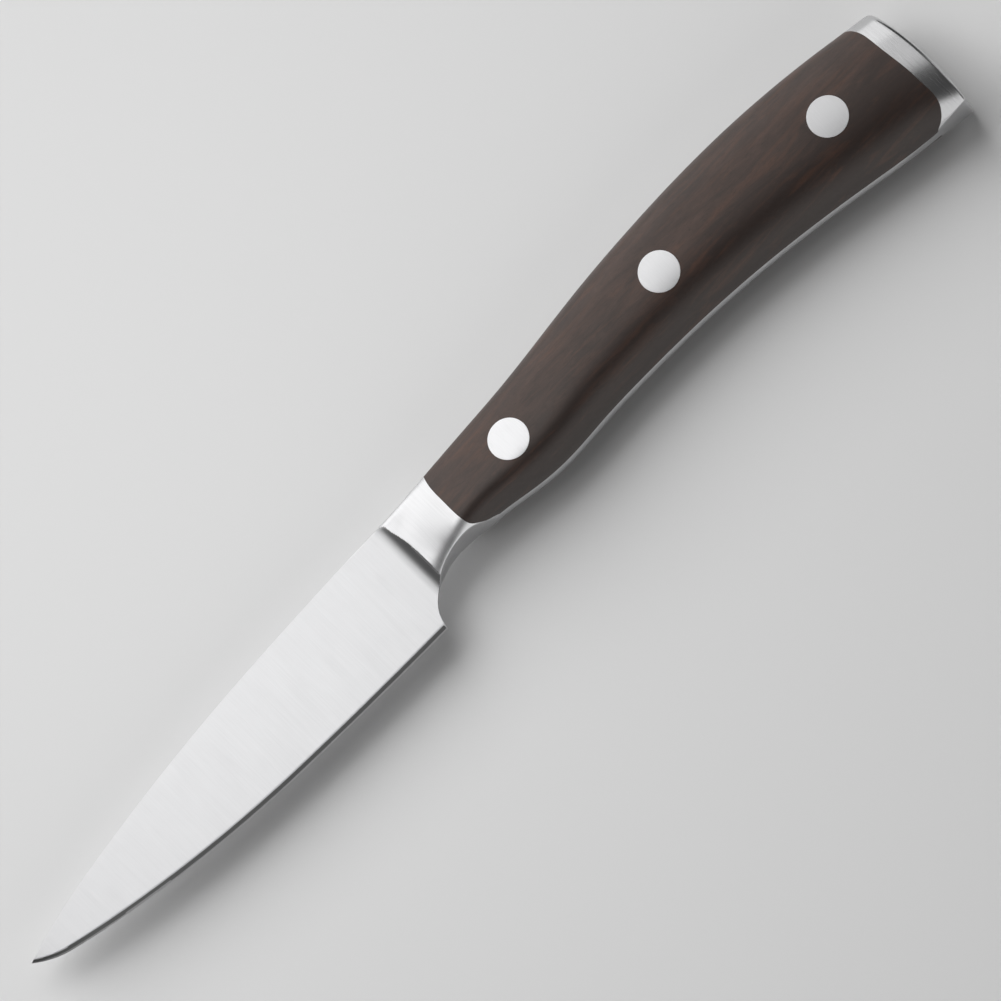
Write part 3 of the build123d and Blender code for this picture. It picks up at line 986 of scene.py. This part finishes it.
# %% Make the six rivet halves
pin_end, tube_end = pin_tip_gap - head_seat, tube_end_gap - head_seat
rivet_halves = {
    "pin": {"Side": 1.0, "Shank Radius": pin_radius, "Shank End": pin_end, "Hollow": False},
    "tube": {"Side": -1.0, "Shank Radius": tube_radius, "Shank End": tube_end, "Hollow": True},
}
for name, place in zip(rivet_shares, rivet_places):
    centre = flat_object("rivet_centre", [place], 0.0)
    for half, sizes in rivet_halves.items():
        mesh = run_tree(centre, rivet_tree, {"Form": knife_form, "Material": rivet_finish, **sizes})
        node = f"{name}_rivet_{half}"
        finished(node + "_half", mesh, [node])
    bpy.data.objects.remove(centre)
for piece in (knife_form, rivet_points):
    bpy.data.objects.remove(piece)

# %% [markdown]
# The stage is a plain pale floor that the knife lies on. Bare steel has almost no colour of its
# own and shows what stands round it, so the look of each face comes from the lamp that it
# mirrors. A broad one past the spine is for the bolster and the upper wood, one hangs close above
# the blade and one above the cap, and two cards are for the faces that look towards the belly and
# the butt. A fill lamp lights the floor and is kept out of the mirror images.

# %% Floor
floor_half, floor_drop = 0.8, 0.02 * mm
floor_level, floor_roughness = 0.67, 0.9
scene = bpy.context.scene
floor_mesh = bpy.data.meshes.new("floor")
corners = [(x * floor_half, y * floor_half, -floor_drop) for x, y in ((-1, -1), (1, -1), (1, 1), (-1, 1))]
floor_mesh.from_pydata(corners, [], [(0, 1, 2, 3)])
floor = bpy.data.objects.new("floor", floor_mesh)
scene.collection.objects.link(floor)
floor_material = bpy.data.materials.new("pale_floor")
floor_material.use_nodes = True
floor_shader = floor_material.node_tree.nodes["Principled BSDF"]
floor_shader.inputs["Base Color"].default_value = (floor_level, floor_level, floor_level, 1.0)
floor_shader.inputs["Roughness"].default_value = floor_roughness
floor_mesh.materials.append(floor_material)
print("floor", 2 * floor_half, "m wide")

# %% Lamps, as place, size, radiance and the point that they face
middle_of_part = (0.0, 0.0, 0.0)
lamp_sheet = {
    "key": ((-0.32, 0.70, 0.38), (1.3, 0.95), 1.12, (-0.32, 0.0, 0.0)),
    "overhead": ((-0.055, 0.042, 0.20), (0.20, 0.105), 1.36, (-0.055, 0.0, 0.0)),
    "rear_overhead": ((0.13, 0.15, 0.40), (0.20, 0.13), 0.72, (0.13, 0.0, 0.0)),
    "front_card": ((0.0, -0.776, 0.346), (1.1, 0.757), 0.79, middle_of_part),
    "end_card": ((0.9, 0.0, 0.35), (0.5, 0.5), 0.5, middle_of_part),
    "fill": ((-0.1, 0.8, 0.85), (1.2, 1.2), 2.7, middle_of_part),
}
world_level = 0.05


def softbox(name, place, size, radiance, aim):
    """A rectangular area lamp turned towards a point, as bright per area as the radiance says."""
    data = bpy.data.lights.new(name, "AREA")
    data.shape, data.size, data.size_y = "RECTANGLE", *size
    data.energy = radiance * math.pi * size[0] * size[1]
    lamp = bpy.data.objects.new(name, data)
    lamp.location = place
    lamp.rotation_euler = (Vector(aim) - Vector(place)).to_track_quat("-Z", "Y").to_euler()
    scene.collection.objects.link(lamp)
    return lamp


lamps = {name: softbox(name, *sheet) for name, sheet in lamp_sheet.items()}
lamps["fill"].visible_glossy = False
world = bpy.data.worlds.new("studio")
world.use_nodes = True
background = world.node_tree.nodes["Background"].inputs
background["Color"].default_value = (1.0, 1.0, 1.0, 1.0)
background["Strength"].default_value = world_level
scene.world = world
print("lamps:", ", ".join(lamps))

# %% [markdown]
# The camera looks almost straight down, with a long lens from far away, so that the knife keeps its
# proportions. The picture is turned, and the knife lies on its diagonal.

# %% Camera
picture_width, picture_turn, picture_tilt = 162.0 * mm, math.radians(45.6), math.radians(14.0)
lens, sensor, view_distance_limit = 600.0, 36.0, 20.0
aim = root + Vector((16.6, -11.29, 0.0)) * mm
toward = Vector((0.0, -math.sin(picture_tilt), math.cos(picture_tilt)))
along, over = Vector((1.0, 0.0, 0.0)), Vector((0.0, math.cos(picture_tilt), math.sin(picture_tilt)))
right = math.cos(picture_turn) * along - math.sin(picture_turn) * over
up = math.sin(picture_turn) * along + math.cos(picture_turn) * over
camera_data = bpy.data.cameras.new("camera")
camera_data.lens, camera_data.sensor_width, camera_data.clip_end = lens, sensor, view_distance_limit
camera = bpy.data.objects.new("camera", camera_data)
camera.matrix_world = Matrix((right, up, toward)).transposed().to_4x4()
camera.location = aim + toward * (picture_width * lens / sensor)
scene.collection.objects.link(camera)
scene.camera = camera
scene.view_settings.view_transform = "Standard"
print("camera at", [round(c, 3) for c in camera.location], "m")
